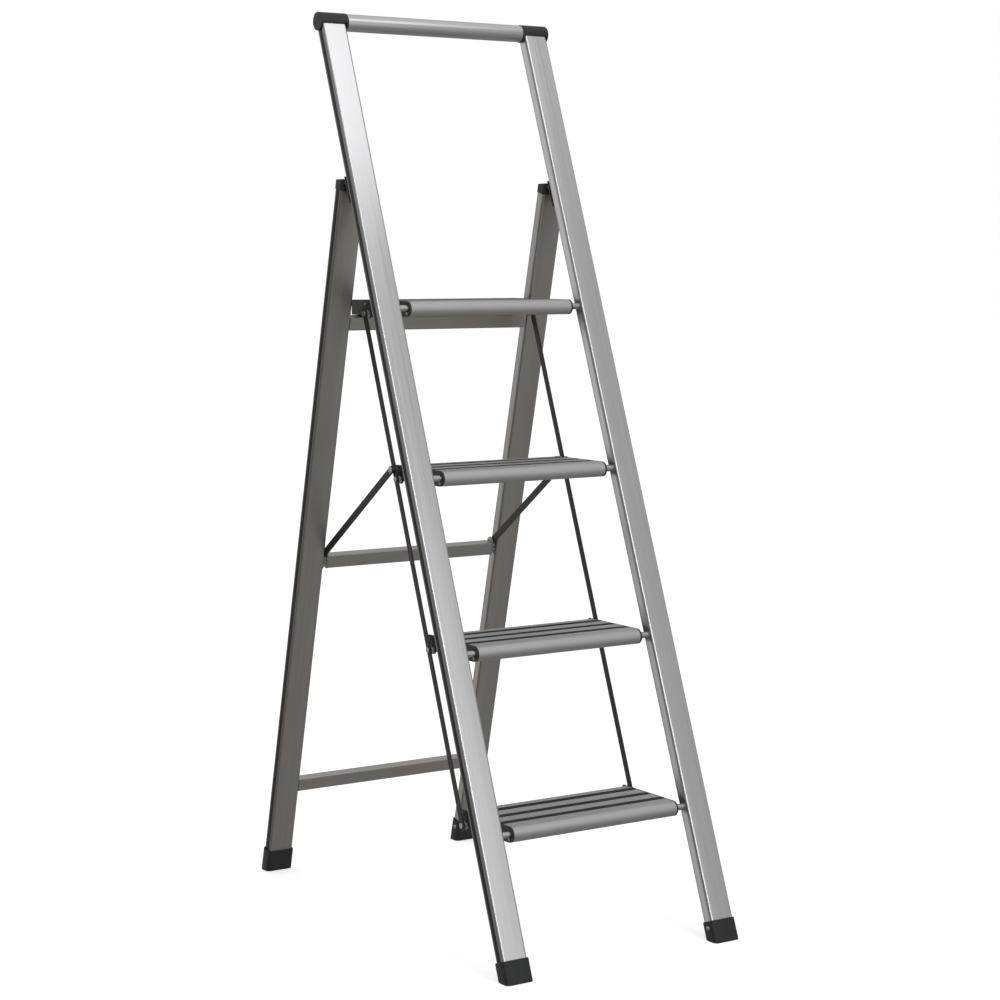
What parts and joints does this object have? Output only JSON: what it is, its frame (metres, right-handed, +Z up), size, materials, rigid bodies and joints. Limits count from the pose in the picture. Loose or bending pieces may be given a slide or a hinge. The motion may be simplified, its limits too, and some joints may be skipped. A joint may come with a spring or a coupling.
{
  "type": "platform step ladder",
  "caption": "Folding aluminium step ladder with wide treads, a handle bar over the platform, a rear prop frame and a linkage that folds the treads with it.",
  "frame": {"origin": "on the floor, in the middle of the open ladder's outer box", "axes": "+Z up, +Y from the climbing side to the prop frame at the back, +X to the climber's right"},
  "size_m": [0.4194, 0.7548, 1.3931],
  "materials": {
    "anodised_aluminium": "satin natural anodised, fine lengthwise grain",
    "tread_aluminium": "extruded, brushed lengthwise",
    "rear_aluminium": "darker satin extrusion",
    "black_plastic": "moulded black plastic with a fine texture",
    "black_painted_steel": "black paint, satin",
    "plated_steel": "zinc plated"
  },
  "bodies": {
    "front_frame": {"front_stile_left": "anodised_aluminium", "front_stile_right": "anodised_aluminium", "front_foot_left": "black_plastic", "front_foot_right": "black_plastic", "handle_cap_left": "black_plastic", "handle_cap_right": "black_plastic", "hinge_bracket_left": "black_plastic", "hinge_bracket_right": "black_plastic", "hinge_pin_left": "plated_steel", "hinge_pin_right": "plated_steel", "handle_tube": "anodised_aluminium", "tread_1_axle": "plated_steel", "tread_2_axle": "plated_steel", "tread_3_axle": "plated_steel", "tread_4_axle": "plated_steel"},
    "rear_frame": {"rear_stile_left": "rear_aluminium", "rear_stile_right": "rear_aluminium", "rear_foot_left": "black_plastic", "rear_foot_right": "black_plastic", "rear_hinge_cap_left": "black_plastic", "rear_hinge_cap_right": "black_plastic", "brace_bracket_left": "plated_steel", "brace_bracket_right": "plated_steel", "brace_pin_left": "plated_steel", "brace_pin_right": "plated_steel", "lower_crossbar": "rear_aluminium", "middle_crossbar": "rear_aluminium", "upper_crossbar": "rear_aluminium"},
    "tread_1_body": {"tread_1": "tread_aluminium", "tread_1_end_cap_left": "black_plastic", "tread_1_end_cap_right": "black_plastic", "link_rivet_1_left": "plated_steel", "link_rivet_1_right": "plated_steel"},
    "tread_2_body": {"tread_2": "tread_aluminium", "tread_2_end_cap_left": "black_plastic", "tread_2_end_cap_right": "black_plastic", "link_rivet_2_left": "plated_steel", "link_rivet_2_right": "plated_steel"},
    "tread_3_body": {"tread_3": "tread_aluminium", "tread_3_end_cap_left": "black_plastic", "tread_3_end_cap_right": "black_plastic", "link_rivet_3_left": "plated_steel", "link_rivet_3_right": "plated_steel"},
    "tread_4_body": {"tread_4": "tread_aluminium", "tread_4_end_cap_left": "black_plastic", "tread_4_end_cap_right": "black_plastic", "link_rivet_4_left": "plated_steel", "link_rivet_4_right": "plated_steel"},
    "link_left_body": {"link_bar_left": "black_painted_steel"},
    "brace_left_body": {"brace_left": "black_painted_steel", "brace_rivet_left": "plated_steel"},
    "link_right_body": {"link_bar_right": "black_painted_steel"},
    "brace_right_body": {"brace_right": "black_painted_steel", "brace_rivet_right": "plated_steel"}
  },
  "joints": [
    {"name": "rear_fold", "type": "hinge", "parent": "front_frame", "child": "rear_frame", "pos_m": [0, 0.07972, 1.13173], "axis": [-1, 0, 0], "range_deg": [0, 34]},
    {"name": "tread_1_swing", "type": "hinge", "parent": "front_frame", "child": "tread_1_body", "pos_m": [0, -0.29188, 0.192], "axis": [1, 0, 0], "range_deg": [0, 69.41]},
    {"name": "tread_2_swing", "type": "hinge", "parent": "front_frame", "child": "tread_2_body", "pos_m": [0, -0.19791, 0.442], "axis": [1, 0, 0], "range_deg": [0, 69.41]},
    {"name": "tread_3_swing", "type": "hinge", "parent": "front_frame", "child": "tread_3_body", "pos_m": [0, -0.10394, 0.692], "axis": [1, 0, 0], "range_deg": [0, 69.41]},
    {"name": "tread_4_swing", "type": "hinge", "parent": "front_frame", "child": "tread_4_body", "pos_m": [0, -0.00997, 0.942], "axis": [1, 0, 0], "range_deg": [0, 69.41]},
    {"name": "link_left_turn", "type": "hinge", "parent": "tread_3_body", "child": "link_left_body", "pos_m": [0, 0.01256, 0.6815], "axis": [-1, 0, 0], "range_deg": [0, 69.41]},
    {"name": "link_right_turn", "type": "hinge", "parent": "tread_3_body", "child": "link_right_body", "pos_m": [0, 0.01256, 0.6815], "axis": [-1, 0, 0], "range_deg": [0, 69.41]},
    {"name": "brace_left_turn", "type": "hinge", "parent": "rear_frame", "child": "brace_left_body", "pos_m": [0, 0.23524, 0.5428], "axis": [-1, 0, 0], "range_deg": [0, 36.71]},
    {"name": "brace_right_turn", "type": "hinge", "parent": "rear_frame", "child": "brace_right_body", "pos_m": [0, 0.23524, 0.5428], "axis": [-1, 0, 0], "range_deg": [0, 36.71]}
  ],
  "couplings": [
    {"joint": "tread_1_swing", "follows": "rear_fold", "ratio": 2.0412},
    {"joint": "tread_2_swing", "follows": "rear_fold", "ratio": 2.0412},
    {"joint": "tread_3_swing", "follows": "rear_fold", "ratio": 2.0412},
    {"joint": "tread_4_swing", "follows": "rear_fold", "ratio": 2.0412},
    {"joint": "link_left_turn", "follows": "rear_fold", "ratio": 2.0412},
    {"joint": "link_right_turn", "follows": "rear_fold", "ratio": 2.0412},
    {"joint": "brace_left_turn", "follows": "rear_fold", "ratio": 1.0794},
    {"joint": "brace_right_turn", "follows": "rear_fold", "ratio": 1.0794}
  ]
}
